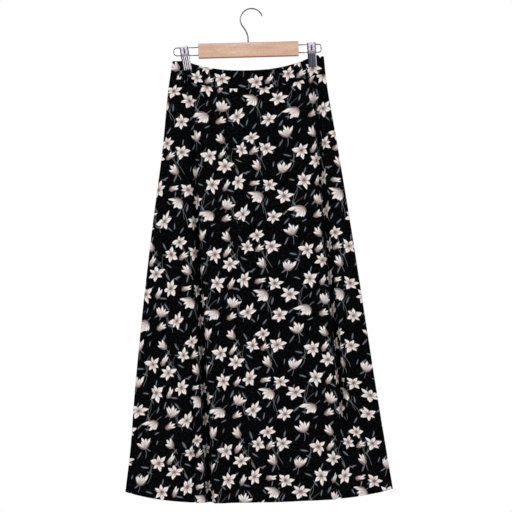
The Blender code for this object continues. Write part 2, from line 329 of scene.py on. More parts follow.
def as_shares(rows):
    """Moves, turns and kinds as shares from 0 to 1, which a colour ramp can hold."""
    top = len(FLOWER_KINDS)
    return [
        ((x + REACH) / (2 * REACH), (y + REACH) / (2 * REACH), turn / 360.0, KIND[kind] / top)
        for x, y, turn, kind in rows
    ]


def lattice(shader, place, across, up, shift, rows):
    """What the chart says about the cell that a place is in.

    Gives the way from the motif's middle with its turn as the third number, and the kind."""
    cell = (REPEAT[0] / across, REPEAT[1] / up, 1.0)
    counted = place.vector("DIVIDE", cell).vector("ADD", (*shift, 0.0))
    corner = counted.vector("FLOOR")
    inside = counted.vector("SUBTRACT", corner).vector("SUBTRACT", (0.5, 0.5, 0.0))
    turn_of = corner.vector("WRAP", (across, up, 1.0), (0.0, 0.0, 0.0))
    number = turn_of.vector("DOT_PRODUCT", (1.0, across, 0.0), output=1)
    row = chart(shader, number, rows)
    moved = row.vector("MULTIPLY_ADD", (-2 * REACH, -2 * REACH, 1.0), (REACH, REACH, 0.0))
    away = inside.vector("MULTIPLY_ADD", (*cell[:2], 0.0), moved)
    return away, row.output("Alpha")


print("a chart of", len(BIG_FLOWERS), "flowers:", as_shares(BIG_FLOWERS)[0])

# %% [markdown]
# ### Drawing a flower
#
# Every flower of the print is a fan of pointed petals round a base. Turning the plane by whole
# petals until the point is on the middle one means that only one petal has to be drawn. A
# lily's fan goes all the way round and is seen from the front. A tulip or a bell has five petals
# over a round cup, and a half-open tulip or a bud has three. Only the numbers change.

# %% Petals
CREAM = paint(244, 236, 233)
PETAL_SHADE = paint(172, 152, 148)
PETAL_LINE = paint(104, 86, 84)
HEART = paint(112, 74, 60)
LEAF = paint(85, 92, 98)
LEAF_LIGHT = paint(138, 144, 150)
STEM = paint(112, 112, 114)
GROUND = (0.0002, 0.0002, 0.0003, 1.0)
GROUND_LIGHT = (0.0068, 0.0070, 0.0080, 1.0)


def separate(value):
    """The three numbers of a vector."""
    parts = value.shader.node("ShaderNodeSeparateXYZ", {}, [value])
    return parts, parts.output("Y"), parts.output("Z")


def turned(shader, away):
    """The way from a motif's middle in the motif's own axes. Its turn is the third number."""
    _, _, turn = separate(away)
    angle = turn * (-2 * math.pi)
    settings = {"rotation_type": "Z_AXIS"}
    own = shader.node("ShaderNodeVectorRotate", settings, {"Vector": away, "Angle": angle})
    x, y, _ = separate(own)
    return x, y, turn


def kind_numbers(shader, kind):
    """The numbers that the table of kinds gives, read back from three charts."""
    top = len(FLOWER_KINDS)
    first = [(s / 90, n / 4, r / 40, w / 10) for _, s, n, r, w, *_ in FLOWER_KINDS]
    second = [(c / 20, b, u + 0.5, o) for *_, c, b, u, o, _ in FLOWER_KINDS]
    third = [(row[-1], 0.0, 0.0, 1.0) for row in FLOWER_KINDS]
    number = (kind * top).maths("ROUND")
    row = chart(shader, number, first)
    sector, petals, length = separate(row)
    width = row.output("Alpha") * 10.0
    row = chart(shader, number, second)
    cup, shift, uneven = separate(row)
    wide_open = row.output("Alpha")
    lopsided, _, _ = separate(chart(shader, number, third))
    return (
        sector * math.radians(90), (petals * 4).maths("ROUND"), length * 40.0,
        width, cup * 20.0, shift, uneven - 0.5, wide_open, lopsided,
    )


def flower(shader, away, kind, grain):
    """Where the nearest flower is drawn, and its colour."""
    numbers = kind_numbers(shader, kind)
    sector, petals, length, width, cup, shift, uneven, wide_open, lopsided = numbers
    x, y, turn = turned(shader, away)
    x = x + length * shift
    seen_aslant = (turn * 13.7).maths("FRACT") * wide_open
    y = y * (1 + seen_aslant * 0.26)
    angle = y.maths("ARCTAN2", x)
    angle = angle + (angle * 2 + turn * 40).maths("SINE") * wide_open * 0.13
    petal = (angle / sector).maths("ROUND").maths("MINIMUM", petals).maths("MAXIMUM", petals * -1)
    lean = angle - petal * sector
    away_from_base = (x * x + y * y).maths("SQRT")
    place_in_ring = (petal + 6).maths("MODULO", 6.0)
    chance = (place_in_ring * 0.618 + turn * 7.3).maths("FRACT")
    odd = abs(petal).maths("MODULO", 2.0)
    long = length * (1.04 - odd * uneven - chance * 0.24 - petal * lopsided)
    along = away_from_base * lean.maths("COSINE")
    across = away_from_base * lean.maths("SINE")
    reached = along / long
    share = reached.maths("MAXIMUM", 0.0001).maths("MINIMUM", 0.9999)
    across = across + share * share * (chance - 0.45) * width * 1.1
    half = width * (1.06 - odd * 0.12 - chance * 0.16) * 2.80 * share**0.60 * (1 - share) ** 0.98
    edge = half - abs(across)
    petal_mask = edge.step(-0.25, 0.25) * reached.fade(0.975, 0.995)
    cup_away = ((x - cup * 0.95) * (x - cup * 0.95) + y * y).maths("SQRT")
    cup_mask = (cup - cup_away).step(-0.3, 0.3) * (1 - wide_open)
    mask = petal_mask.maths("MAXIMUM", cup_mask) * kind.maths("GREATER_THAN", 0.01)

    spread = across / half.maths("MAXIMUM", 0.2)
    one_side = spread.step(-0.1, 1.0)
    near_heart = share.fade(0.05, 0.60)
    gap = (abs(lean) / sector * 2).step(0.72, 1.0) * share.fade(0.60, 0.88)
    shade = near_heart * 0.56 + one_side * 0.46 + (grain - 0.5) * 1.1
    colour = shader.mix(shade, CREAM, PETAL_SHADE)
    vein = abs(across).fade(0.15, 0.80) * share.fade(0.45, 0.80)
    colour = shader.mix((vein * 0.65).maths("MAXIMUM", gap * 0.85), colour, PETAL_LINE)
    ragged = away_from_base * (1.0 - gap * 0.35) + (grain - 0.5) * 2.5
    heart = ragged.fade(1.4, 4.0) * wide_open
    stamen = abs(abs(lean) * away_from_base - 1.2).fade(0.15, 0.55) * wide_open
    stamen = stamen * (away_from_base + chance * 3.0).fade(6.0, 8.5)
    colour = shader.mix(heart * 0.85 + stamen * 0.7, colour, HEART)
    return mask, colour, x, y, wide_open


print("a flower is drawn from", len(FLOWER_KINDS[0]) - 1, "numbers")

# %% [markdown]
# ### Leaves and stems
#
# The leaves are short brush strokes, lighter down the middle. They lie on two lattices of their
# own, in directions that are worked out rather than charted, since no one reads them one by
# one. Stems are thin arcs, in pairs that cross.

# %% Leaves, stems and the whole print
def leaf_rows(count, seed):
    """Moves, turns and sizes for leaves, as shares from 0 to 1."""
    rows = []
    for i in range(count):
        right = 0.5 + 0.38 * math.sin(2.4 * i + seed)
        up = 0.5 + 0.34 * math.cos(1.7 * i + 2 * seed)
        slant = 48 if (i * 7 + int(seed)) % 5 < 3 else 142
        turn = (slant + 26 * math.sin(3.1 * i + seed)) % 360 / 360.0
        size = 0.62 + 0.38 * abs(math.sin(1.3 * i + seed))
        rows.append((right, up, turn, size))
    return rows


STEM_ROWS = (
    # moved right, moved up, turned, bend: all as shares from 0 to 1
    (0.42, 0.60, 0.31, 0.9), (0.63, 0.38, 0.20, 0.3), (0.50, 0.45, 0.33, 0.6),
    (0.36, 0.52, 0.29, 0.2), (0.58, 0.66, 0.22, 0.8), (0.45, 0.35, 0.30, 0.5),
)


def nearest(shader, first, second):
    """Of two motifs, each a way from its middle and a kind, the one that is nearer."""
    flat = (1.0, 1.0, 0.0)
    gaps = [m[0].vector("MULTIPLY", flat).vector("LENGTH", output=1) for m in (first, second)]
    test = gaps[1].maths("LESS_THAN", gaps[0])
    away = shader.choose(test, first[0], second[0])
    kind = first[1] + test * (second[1] - first[1])
    return away, kind


def leaf(shader, away, size):
    """Where a leaf is drawn, and how light it is."""
    x, y, _ = turned(shader, away)
    share = abs(x) / (size * 10.5)
    half = (1 - (share * share)) * (size * 2.3)
    inside = (half - abs(y)).step(-0.2, 0.25)
    light = abs(y + 0.3).fade(0.1, 0.9) * share.fade(0.5, 0.9)
    return inside, light


def stem(shader, away, bend):
    """Two thin arcs that cross, and a branch."""
    x, y, _ = turned(shader, away)
    share = (x / 36.0).maths("MINIMUM", 1.0).maths("MAXIMUM", -1.0)
    bow = (1 - share * share) * (bend * 9.0 - 2.0)
    wave = (share * 3.6).maths("SINE") * 2.6
    first = abs(y - bow - wave).fade(0.30, 0.70) * abs(share).fade(0.97, 0.99)
    second = abs(y - bow + wave).fade(0.25, 0.65) * abs(share - 0.2).fade(0.7, 0.72)
    run = x + 12.0
    branch = abs(y + run * run * 0.022 - 2.0).fade(0.25, 0.65) * run.step(0.0, 0.5)
    branch = branch * run.fade(27.0, 28.0)
    return first.maths("MAXIMUM", second).maths("MAXIMUM", branch)


def floral_print(shader, uv_name, shift=(0.0, 0.0)):
    """The print's colour, with how much of it is drawn over the ground."""
    uv = shader.node("ShaderNodeUVMap", {"uv_map": uv_name})
    place = uv.vector("MULTIPLY", (1000.0, 1000.0, 0.0)).vector("ADD", (*shift, 0.0))
    wobble = shader.noise(place, 1 / 30, 1.0, output=1)
    place = place.vector("ADD", wobble.vector("MULTIPLY_ADD", (7.0, 7.0, 0.0), (-3.5, -3.5, 0.0)))
    grain = shader.noise(place, 1 / 5, 3.0)

    big = lattice(shader, place, 3, 3, (0.0, 0.0), as_shares(BIG_FLOWERS))
    other = lattice(shader, place, 3, 3, (0.5, 0.5), as_shares(OTHER_FLOWERS))
    buds = lattice(shader, place, 3, 3, (0.5, 0.0), as_shares(BUDS))
    away, kind = nearest(shader, big, other)
    bud_gap = buds[0].vector("MULTIPLY", (1.0, 1.0, 0.0)).vector("LENGTH", output=1)
    near_bud = bud_gap.maths("LESS_THAN", BUD_ROOM) * buds[1].maths("GREATER_THAN", 0.01)
    away = shader.choose(near_bud, away, buds[0])
    kind = kind + near_bud * (buds[1] - kind)
    flower_mask, flower_colour, x, y, wide_open = flower(shader, away, kind, grain)
    stalk = abs(y - x * x * 0.012).fade(0.5, 0.9) * x.step(-22.0, -20.0)
    stalk = stalk * x.fade(-0.5, 0.5) * (1 - wide_open)

    leaves = [
        lattice(shader, place, 5, 6, (0.2, 0.1), leaf_rows(30, 0.4)),
        lattice(shader, place, 5, 6, (0.7, 0.6), leaf_rows(30, 5.1)),
    ]
    leaf_mask, leaf_light = leaf(shader, *nearest(shader, *leaves))
    stem_mask = stem(shader, *lattice(shader, place, 3, 2, (0.25, 0.3), STEM_ROWS))
    stem_mask = stem_mask.maths("MAXIMUM", stalk)

    pebble = shader.noise(place, 1 / 4.2, 2.0).step(0.40, 0.72)
    colour = shader.mix(pebble, GROUND, GROUND_LIGHT)
    colour = shader.mix(stem_mask * 0.85, colour, STEM)
    leaf_colour = shader.mix(leaf_light * 0.8 + (grain - 0.5) * 0.5, LEAF, LEAF_LIGHT)
    colour = shader.mix(leaf_mask * 0.92, colour, leaf_colour)
    colour = shader.mix(flower_mask, colour, flower_colour)
    return colour, flower_mask


HEM_STITCHES = 0.986  # metres down the cloth, where the turned-up hem is sewn


def cloth_finish(name, shift=(0.0, 0.0), strength=1.0):
    """Printed viscose crepe: dull, with a fine pebbled grain and a line of stitches at the hem."""
    shader = Shader(name)
    colour, flowers = floral_print(shader, "print", shift)
    cut = shader.node("ShaderNodeUVMap", {"uv_map": "cut"})
    grain = shader.noise(cut, 1100.0, 2.0, 0.6)
    slub = shader.noise(cut, 60.0, 3.0)
    height = grain * 0.7 + slub * 0.3
    along, down, _ = separate(cut)
    hem_line = abs(down + HEM_STITCHES).fade(0.0003, 0.0009)
    stitches = hem_line * (along * 2400.0).maths("SINE").step(-0.5, 0.5)
    height = height - hem_line * 3.0
    colour = shader.mix(stitches * 0.6, colour, paint(30, 31, 34))
    if strength < 1.0:
        colour = shader.mix(strength, paint(34, 35, 38), colour)
    return shader.finish(
        Base_Color=colour,
        Roughness=0.80 + (slub - 0.5) * 0.2 + flowers * 0.06,
        Specular_IOR_Level=0.012,
        Sheen_Weight=0.003,
        Sheen_Roughness=0.5,
        Normal=shader.bump(height, 0.35, 0.0004),
    )


cloth = cloth_finish("printed_cloth")
band_cloth = cloth_finish("printed_cloth_band", (95.0, 60.0))
cloth_back = cloth_finish("printed_cloth_reverse", (0.0, 0.0), 0.22)
print("nodes in the cloth's material:", len(cloth.node_tree.nodes))

# %% [markdown]
# ## The form of the skirt
#
# The skirt is cut as an A-line: a front and a back panel, joined at the sides and sewn to a
# two-piece waistband. Hung by two clips, the cloth between the clips sags at the top, and
# below each clip a deep fold falls that swallows the spare width. The right one opens out again
# above the hem. The tables give the half widths and the fullness at a few heights, and the
# middle, width and depth of every fold, in millimetres as the CAD model does. The front's left
# fold is a little shallower than the CAD's, and smaller soft creases are added.

# %% Sizes of the cloth
WAIST_X = -9 * MM  # the middle of the waist line
WAIST_Z = -117.3 * MM
SKIRT_LENGTH = 1005 * MM
BAND_HEIGHT = 43 * MM
WAIST_SAG = 25 * MM
WAIST_POWER = 2.4
WAIST_RISE = {-1: 1.2 * MM, 1: 4 * MM}
CLIP_AT = 148 * MM
HEM_DROP = 1023 * MM
HEM_LIFT = {-1: 26 * MM, 1: 17 * MM}
HEM_POWER = 3.8
TROUGH_HANGS = 0.10
EDGE_Y = 0.45 * MM  # a panel's middle surface where it is sewn at the side
DOME_POWER = 3.0
FOLD_STARTS = 28
PINCH_HALF = 13 * MM
PINCH_FADE = 30 * MM
WALL = 0.6 * MM
print("a skirt of", SKIRT_LENGTH, "m with a band of", BAND_HEIGHT)

# %% Tables of sections, folds and creases
SECTIONS = (
    # drop below the waist's edge, half widths left and right, fullness of front and back
    (0, 177, 175, 3.0, 3.0),
    (43, 185, 178, 6.0, 6.0),
    (200, 205, 200, 15.0, 12.0),
    (400, 236, 228, 23.0, 17.0),
    (600, 264, 254, 29.0, 21.0),
    (800, 288, 280, 33.0, 24.0),
    (900, 298, 294, 34.5, 25.5),
    (1005, 313, 309, 36.0, 27.0),
)

STAYS = 2000  # a crease with this drop doesn't fade before the hem

FOLDS = (
    # panel, middle at top, at hem, drift, half width top, hem, depth, power,
    # drop where it starts, is full, has gone, skew to the right
    ("front", -144, -124, 1.0, 15, 21, 36, 0.60, 28, 640, STAYS, 0.5),
    ("front", 145, 203, 1.15, 15, 20, 32, 0.45, 28, 700, 900, 0.5),
    ("back", -147, -132, 1.2, 34, 46, 38, 0.50, 28, 760, STAYS, 0.0),
    ("back", -52, -56, 1.0, 30, 34, -22, 0.90, 28, 900, STAYS, 0.0),
    ("back", 60, 88, 1.0, 30, 40, -26, 0.80, 28, 950, STAYS, 0.0),
    ("back", 147, 208, 1.6, 34, 46, 38, 0.40, 28, 760, STAYS, 0.0),
    ("back", -195, -233, 1.0, 22, 28, -9, 2.50, 28, 1000, STAYS, 0.0),
)

CREASES = (
    # the same columns; these are shallow, and make the cloth's surface less even
    ("front", -152, -150, 1.0, 4, 5, 8.0, 0.80, 560, 800, STAYS, 0.0),
    ("front", -246, -246, 1.0, 7, 8, 8.0, 0.80, 590, 720, 930, 0.3),
    ("front", 176, 180, 1.0, 7, 8, 8.0, 0.80, 800, 1000, STAYS, 0.0),
    ("front", -106, -84, 1.2, 10, 16, -2.6, 0.80, 60, 700, STAYS, 0.0),
    ("front", 118, 168, 1.5, 12, 18, -2.4, 0.80, 90, 800, STAYS, 0.0),
    ("front", -52, -60, 1.0, 40, 55, 2.6, 1.00, 200, 980, STAYS, 0.0),
    ("front", 28, 34, 1.0, 36, 60, -2.4, 1.00, 150, 1000, STAYS, 0.0),
    ("front", 92, 104, 1.0, 22, 34, 2.2, 1.20, 260, 960, STAYS, 0.0),
    ("front", -190, -222, 1.0, 10, 16, 3.4, 1.00, 380, 700, 960, 0.0),
    ("front", 180, 256, 1.0, 12, 18, 3.0, 1.00, 420, 900, STAYS, 0.0),
    ("front", -8, 4, 1.0, 12, 20, 1.2, 1.00, 40, 300, STAYS, 0.0),
    ("back", -10, -8, 1.0, 22, 30, 3.0, 1.00, 120, 900, STAYS, 0.0),
    ("back", 112, 132, 1.0, 14, 20, -2.2, 1.00, 200, 900, STAYS, 0.0),
    ("back", -104, -96, 1.0, 14, 18, -2.0, 1.00, 160, 820, STAYS, 0.0),
    ("back", 214, 262, 1.0, 10, 16, 3.2, 1.00, 420, 800, STAYS, 0.0),
    ("back", -226, -276, 1.0, 9, 14, 3.0, 1.00, 520, 800, 1000, 0.2),
)
FADE = 130  # a crease fades over this much drop before it has gone
print(len(SECTIONS), "sections,", len(FOLDS), "folds and", len(CREASES), "creases")

# %% The middle surface of a panel


def section(column, drop):
    """A column of SECTIONS at a drop in metres, from a smooth curve through its rows."""
    sizes = np.array(SECTIONS, float)
    at, values = sizes[:, 0], sizes[:, column]
    slopes = np.gradient(values, at)
    x = min(max(drop / MM, at[0]), at[-1])
    i = min(int(np.searchsorted(at, x, side="right")) - 1, len(at) - 2)
    step = at[i + 1] - at[i]
    t = (x - at[i]) / step
    start = (1 + 2 * t) * (1 - t) ** 2 * values[i] + t * (1 - t) ** 2 * step * slopes[i]
    end = t * t * (3 - 2 * t) * values[i + 1] + t * t * (t - 1) * step * slopes[i + 1]
    return (start + end) * MM


def troughs(rows, panel, x, drop):
    """How far the folds of a table push a panel towards +Y, at points across it."""
    push = np.zeros_like(x)
    share = min(drop / SKIRT_LENGTH, 1.0)
    for where, top, hem, drift, half_top, half_hem, depth, power, starts, full, gone, skew in rows:
        if where != panel:
            continue
        middle = (top + (hem - top) * share**drift) * MM
        half = (half_top + (half_hem - half_top) * share) * MM
        grown = min(max(drop / MM - starts, 0.0) / (full - starts), 1.0) ** power
        grown *= min(max(gone - drop / MM, 0.0) / FADE, 1.0)
        across = np.clip((x - middle) / half, -1.0, 1.0)
        across -= skew * (1.0 - across**2)
        push += depth * MM * grown * (0.5 + 0.5 * np.cos(math.pi * across))
    return push


def panel_y(panel, x, drop):
    """The middle surface of a panel at points across it."""
    left, right = section(1, drop), section(2, drop)
    share = np.clip(np.abs(x) / np.where(x < 0, left, right), 0.0, 1.0)
    dome = 1.0 - share**DOME_POWER
    if drop < BAND_HEIGHT:
        from_clip = np.abs(np.abs(x) - CLIP_AT) - PINCH_HALF
        pinch = np.clip(from_clip / PINCH_FADE, 0.0, 1.0)
        pinch = pinch * pinch * (3.0 - 2.0 * pinch)
        free = np.clip((drop / MM - FOLD_STARTS) / (BAND_HEIGHT / MM - FOLD_STARTS), 0.0, 1.0)
        outside = np.abs(x) > CLIP_AT
        dome *= np.where(outside, free, pinch + (1.0 - pinch) * free)
    small = troughs(CREASES, panel, x, drop) * (1.0 - share**6)
    if panel == "front":
        return -EDGE_Y - section(3, drop) * dome + troughs(FOLDS, panel, x, drop) + small
    return EDGE_Y + section(4, drop) * dome + troughs(FOLDS, panel, x, drop) + small


WAIST_HALVES = {side: section(column, 0.0) for side, column in ((-1, 1), (1, 2))}
print("half widths at the waist:", WAIST_HALVES)

# %% The waist's edge and the hem


def waist_z(away, side):
    """Height of the waist's edge over the waist line, at distances from its middle."""
    share = np.minimum(away / CLIP_AT, 1.0)
    return -WAIST_SAG + (WAIST_SAG + WAIST_RISE[side]) * share**WAIST_POWER


CURL = ((148, 156, 160, 163, 166, 169, 173, 176), (0.0, 1.5, 3.0, 1.5, -4.2, -0.6, 0.0, -2.5))
CURL_FADES = 18 * MM  # at the right corner, in mm along and up


def corner_z(away, side, drop):
    """How far the loose right corner of the waist's edge curls up and down."""
    if side < 0 or drop > CURL_FADES:
        return 0.0 * away
    curl = np.interp(away / MM, *CURL) * MM
    return curl * (1.0 - drop / CURL_FADES) ** 1.5


def hem_z(share, side):
    """Height of the hem over the waist line, at shares of the way to the side seam."""
    return -HEM_DROP + HEM_LIFT[side] * share**HEM_POWER


print("the waist's edge in mm:", np.round(waist_z(np.linspace(0.0, CLIP_AT, 4), 1) / MM, 1))

# %% [markdown]
# ## Hanging a panel
#
# A panel starts as a flat grid, like cloth on the cutting table. Every point of a row is then
# moved to where it hangs, evenly spaced along the cloth and not along the straight line, so
# that the weave isn't stretched in a fold. Two UV maps go with it. One is the cut, in metres
# along and down the cloth, for its grain and its stitches. The other is the print, which
# bends round like the cut of an A-line and is a little off the straight.

# %% Panels
COLUMNS = 190
SAMPLES = 900
CUT_RADIUS = 0.830  # from the point where the side seams would meet up to the waist's edge
PRINT_LEAN = math.radians(1.7)
PRINT_SWING = 0.066
SWING_FROM = 0.150


def across_row(panel, drop):
    """Points of one row of a panel with their distance from its middle, along the cloth."""
    half = COLUMNS // 2
    placed, distances = [], []
    for side in (-1, 1):
        edge = section(1 if side < 0 else 2, drop)
        x = np.linspace(0.0, side * edge, SAMPLES)
        y = panel_y(panel, x, drop)
        along = np.concatenate([[0.0], np.cumsum(np.hypot(np.diff(x), np.diff(y)))])
        shares = np.linspace(0.0, 1.0, half + 1)
        column_x = np.interp(shares * along[-1], along, x)
        column_y = panel_y(panel, column_x, drop)
        pushed = np.abs(troughs(FOLDS, panel, column_x, drop)) * TROUGH_HANGS
        down = drop / SKIRT_LENGTH
        top = waist_z(shares * WAIST_HALVES[side], side)
        hem = hem_z(shares, side)
        z = top * (1 - down) + hem * down - pushed * down
        z += corner_z(shares * WAIST_HALVES[side], side, drop)
        row = [Vector((WAIST_X + a, b, WAIST_Z + c)) for a, b, c in zip(column_x, column_y, z)]
        placed.append(row)
        distances.append(side * shares * along[-1])
    points = placed[0][::-1] + placed[1][1:]
    return points, np.concatenate([distances[0][::-1], distances[1][1:]])


def print_place(distance, drop):
    """Where the print is read for a point of the cloth: right and up, in metres."""
    radius = CUT_RADIUS + drop
    right = radius * math.sin(distance / radius)
    down = radius * math.cos(distance / radius) - CUT_RADIUS
    down -= PRINT_SWING * max(0.0, abs(distance) - SWING_FROM)
    cos, sin = math.cos(PRINT_LEAN), math.sin(PRINT_LEAN)
    return right * cos - down * sin, -down * cos - right * sin


PRINT_MOVES = {"front": 0.0, "back": 61 * MM}  # the back is cut from another part of the print


def to_object(name, bm):
    """A finished bmesh as an object at the origin."""
    mesh = bpy.data.meshes.new(name)
    bm.to_mesh(mesh)
    bm.free()
    made = bpy.data.objects.new(name, mesh)
    bpy.context.scene.collection.objects.link(made)
    return made


def hang(name, panel, drops, materials):
    """A sheet made flat as a grid, with each of its points moved to where it hangs."""
    rows = [across_row(panel, drop) for drop in drops]
    outward = -1.0 if panel == "front" else 1.0
    bm = bmesh.new()
    bmesh.ops.create_grid(bm, x_segments=COLUMNS, y_segments=len(drops) - 1, size=0.5)
    print_map = bm.loops.layers.uv.new("print")
    cut_map = bm.loops.layers.uv.new("cut")
    where = {}
    for vert in bm.verts:
        column = round((vert.co.x + 0.5) * COLUMNS)
        row = round((0.5 - vert.co.y) * (len(drops) - 1))
        points, distances = rows[row]
        where[vert.index] = (distances[column], drops[row])
        vert.co = points[column]
    bm.verts.index_update()
    for face in bm.faces:
        face.smooth = True
        for loop in face.loops:
            distance, drop = where[loop.vert.index]
            right, up = print_place(-outward * distance, drop)
            loop[print_map].uv = (right + PRINT_MOVES[panel], up)
            loop[cut_map].uv = (distance, -drop)
    bmesh.ops.recalc_face_normals(bm, faces=bm.faces[:])
    middle = bm.faces[len(bm.faces) // 2]
    if middle.normal.y * outward < 0:
        bmesh.ops.reverse_faces(bm, faces=bm.faces[:])
    piece = to_object(name, bm)
    for finish in materials:
        piece.data.materials.append(finish)
    wall = piece.modifiers.new("wall", "SOLIDIFY")
    wall.thickness = WALL
    wall.offset = 0.0
    wall.material_offset = len(materials) - 1
    lengths = [distances[-1] - distances[0] for _, distances in rows]
    area = float(np.sum((np.array(lengths[1:]) + np.array(lengths[:-1])) / 2 * np.diff(drops)))
    print(name, "widths along the cloth", round(lengths[0], 3), round(lengths[-1], 3), "area", round(area, 3))
    return piece, lengths, area


SEAM = 0.2 * MM  # between the waistband and the panel below it
panel_drops = np.linspace(BAND_HEIGHT, SKIRT_LENGTH, 241)
front_panel, front_lengths, front_area = hang("front_panel", "front", panel_drops, (cloth, cloth_back))
back_panel, back_lengths, back_area = hang("back_panel", "back", panel_drops, (cloth, cloth_back))

# %% Waistbands
band_drops = np.linspace(0.0, BAND_HEIGHT - SEAM, 15)
front_band, front_band_lengths, front_band_area = hang(
    "front_waistband_cloth", "front", band_drops, (band_cloth, cloth_back)
)
back_band, back_band_lengths, back_band_area = hang(
    "back_waistband_cloth", "back", band_drops, (band_cloth, cloth_back)
)

# %% [markdown]
# ## Wood, wire and plate
#
# The bar is a plain batten of pale beech with its grain along it, and painted shade along its
# edges. The hook and the arms are bright steel wire. The clips are pressed from plated sheet,
# with painted shade in the grooves of their ribs and along their sides. Each clip's plate has a
# UV map of its own, across and up in metres, so that the grooves stay on the ribs however the clip leans.

# %% Hard finishes
RIBS = 4
RIB_FIELD = 17.6 * MM  # the ribs' width, all together
RIBS_START = 11.0 * MM  # the ribs begin below this height over the waist line
BAR_FACE = tuple(corner.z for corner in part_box("hanger_bar"))  # its lowest and highest


def wood_finish():
    """Beech, with painted shade along the bar's lower and upper edges."""
    shader = Shader("pale_beech")
    place = shader.node("ShaderNodeTexCoord").output("Object")
    along = place.vector("MULTIPLY", (9.0, 60.0, 60.0))
    fibre = place.vector("MULTIPLY", (60.0, 900.0, 900.0))
    figure = shader.noise(along, 1.0, 4.0, 0.55)
    fine = shader.noise(fibre, 1.0, 3.0, 0.6)
    dashes = shader.noise(fibre, 2.2, 1.0).step(0.60, 0.72)
    colour = shader.mix(figure.step(0.3, 0.7), paint(236, 201, 178), paint(214, 172, 144))
    colour = shader.mix(fine.step(0.35, 0.75) * 0.6, colour, paint(196, 148, 120))
    colour = shader.mix(dashes * 0.75, colour, paint(150, 100, 76))
    _, _, height = separate(place)
    low, high = BAR_FACE
    # painted shade: darker along the bar's lower edge, which turns from the light, and along its upper edge
    edge = height.fade(low + 0.0006, low + 0.0022) * 0.75 + height.step(high - 0.0014, high) * 0.35
    colour = shader.mix(edge, colour, paint(120, 82, 62))
    return shader.finish(
        Base_Color=colour,
        Roughness=0.48 + (fine - 0.5) * 0.3,
        Specular_IOR_Level=0.4,
        Normal=shader.bump(fine - dashes * 0.5, 0.3, 0.0003),
    )


def metal_finish(name, light, dark, roughness):
    shader = Shader(name)
    place = shader.node("ShaderNodeTexCoord").output("Object")
    cloud = shader.noise(place, 180.0, 3.0)
    specks = shader.noise(place, 1400.0, 2.0)
    colour = shader.mix(cloud.step(0.35, 0.7), light, dark)
    return shader.finish(
        Base_Color=colour,
        Metallic=1.0,
        Roughness=roughness + (cloud - 0.5) * 0.25,
        Normal=shader.bump(specks, 0.15, 0.0001),
    )


def plate_finish(name, lit_ridge, shaded_groove, rib_width):
    """Plated sheet: bright lilac-grey above, ribbed below, with painted shade in the grooves, inside and
    along its folded sides, and a painted highlight down one side of the ribs.
    """
    shader = Shader(name)
    place = shader.node("ShaderNodeUVMap", {"uv_map": "plate"})
    x, z, _ = separate(place)
    spots = shader.node("ShaderNodeTexCoord").output("Object")
    _, depth, _ = separate(spots)
    cloud = shader.noise(spots, 320.0, 3.0)
    scratch = shader.noise(place.vector("MULTIPLY", (2500.0, 60.0, 1.0)), 1.0, 2.0)
    wave = 0.5 - (x * (2 * math.pi * RIBS / RIB_FIELD)).maths("COSINE") * 0.5
    ribbed = z.fade(RIBS_START - 0.001, RIBS_START)
    # painted shade and reflection: the folded sides of the plate are dark from here to the edge
    side = abs(x).step(0.0068, 0.0078)
    upper = shader.mix(cloud.step(0.3, 0.7), paint(250, 243, 252), paint(222, 210, 228))
    upper = shader.mix(z.fade(0.0155, 0.0175), upper, paint(158, 148, 164))
    pressed_line = abs(z - 0.0252).fade(0.0004, 0.0009)
    upper = shader.mix(pressed_line * 0.6, upper, paint(96, 84, 104))
    pips = (x * 1600.0).maths("COSINE").step(0.1, 0.6) * abs(z - 0.0188).fade(0.0005, 0.0010)
    upper = shader.mix(pips * 0.75, upper, paint(70, 58, 78))
    # painted shade and reflection along the folded sides
    upper = shader.mix(side * 0.92, upper, paint(40, 32, 46))
    # painted shade in the grooves between the ribs, and a painted reflection on the ridges
    lower = shader.mix(wave.step(1 - rib_width, 1 - rib_width * 0.55), paint(*shaded_groove), paint(*lit_ridge))
    foot = z.fade(-0.0192, -0.0178)
    lower = shader.mix(foot * 0.7, lower, paint(*shaded_groove))
    # painted shade down the left side of the ribbed part, and a painted highlight down its right side
    lower = shader.mix((x * -1).step(0.0065, 0.0074), lower, paint(*shaded_groove))
    lower = shader.mix(x.step(0.0074, 0.0082) * 0.9, lower, paint(206, 200, 212))
    colour = shader.mix(ribbed, upper, lower)
    # painted shade on the inner faces, where the two jaws face each other
    inside = abs(depth).fade(0.0040, 0.0046)
    colour = shader.mix(inside * (1 - ribbed) * 0.9, colour, paint(44, 34, 48))
    return shader.finish(
        Base_Color=shader.mix((scratch - 0.4) * 0.25, colour, paint(120, 116, 126)),
        Metallic=0.25,
        Roughness=0.30 + (scratch - 0.5) * 0.2 + ribbed * (1 - wave) * 0.25,
        Normal=shader.bump(scratch, 0.12, 0.0001),
    )


wood = wood_finish()
wire = metal_finish("bright_wire", paint(140, 138, 142), paint(96, 94, 98), 0.28)
steel = metal_finish("plated_steel", paint(188, 180, 192), paint(150, 142, 158), 0.28)
# the two clips are one part: the left one's ribs carry a painted bright reflection, the right one's a painted
# dark reflection
plates = {
    "left": plate_finish("plated_sheet_left_bright_reflections", (236, 230, 240), (6, 5, 8), 0.46),
    "right": plate_finish("plated_sheet_right_dark_reflections", (80, 82, 96), (12, 12, 18), 0.78),
}

for name, node in nodes.items():
    node.data.materials.clear()
    node.data.materials.append(wood if name == "hanger_bar" else steel)
print("finishes:", wood.name, wire.name, [m.name for m in plates.values()])

# %% [markdown]
# ## Bent wire
#
# Wire is bent cold, so it is one round section carried along a line. A ring of edges is
# extruded from point to point, and turned each time to face the way the line goes on. The
# points come from a straight shank, one smooth bend and an arc for the hook, and from two
# straight legs with rounded corners for an arm.

# %% Wire pieces
def new_piece(name, bm, finish):
    """A smooth hard piece in its finish."""
    bmesh.ops.recalc_face_normals(bm, faces=bm.faces[:])
    for face in bm.faces:
        face.smooth = True
    piece = to_object(name, bm)
    piece.data.materials.append(finish)
    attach(piece, "root")
    return piece


